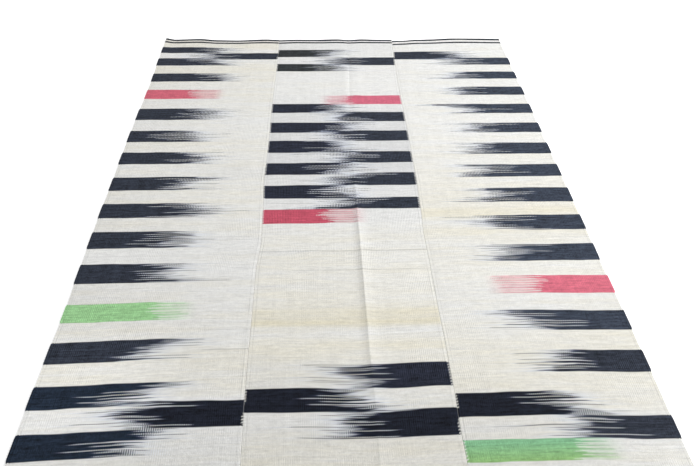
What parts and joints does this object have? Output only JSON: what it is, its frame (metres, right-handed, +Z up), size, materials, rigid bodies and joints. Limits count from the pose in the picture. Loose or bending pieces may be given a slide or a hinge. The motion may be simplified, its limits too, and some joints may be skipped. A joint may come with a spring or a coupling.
{
  "type": "kilim rug",
  "caption": "Flat-woven wool rug of narrow loom strips sewn edge to edge, with short dyed bars that fade into a cream ground.",
  "frame": {"origin": "centre of the bounding box, on the floor that the rug lies on", "axes": "+Z up, +Y along the strips towards the far end of the rug, +X across the strips to the right"},
  "size_m": [1.7, 2.31, 0.009],
  "materials": {
    "woven_wool": "matte flat weave",
    "sewing_thread": "matte twisted thread"
  },
  "bodies": {
    "root": {"strip_left": "woven_wool", "strip_centre": "woven_wool", "strip_right": "woven_wool"}
  },
  "joints": []
}
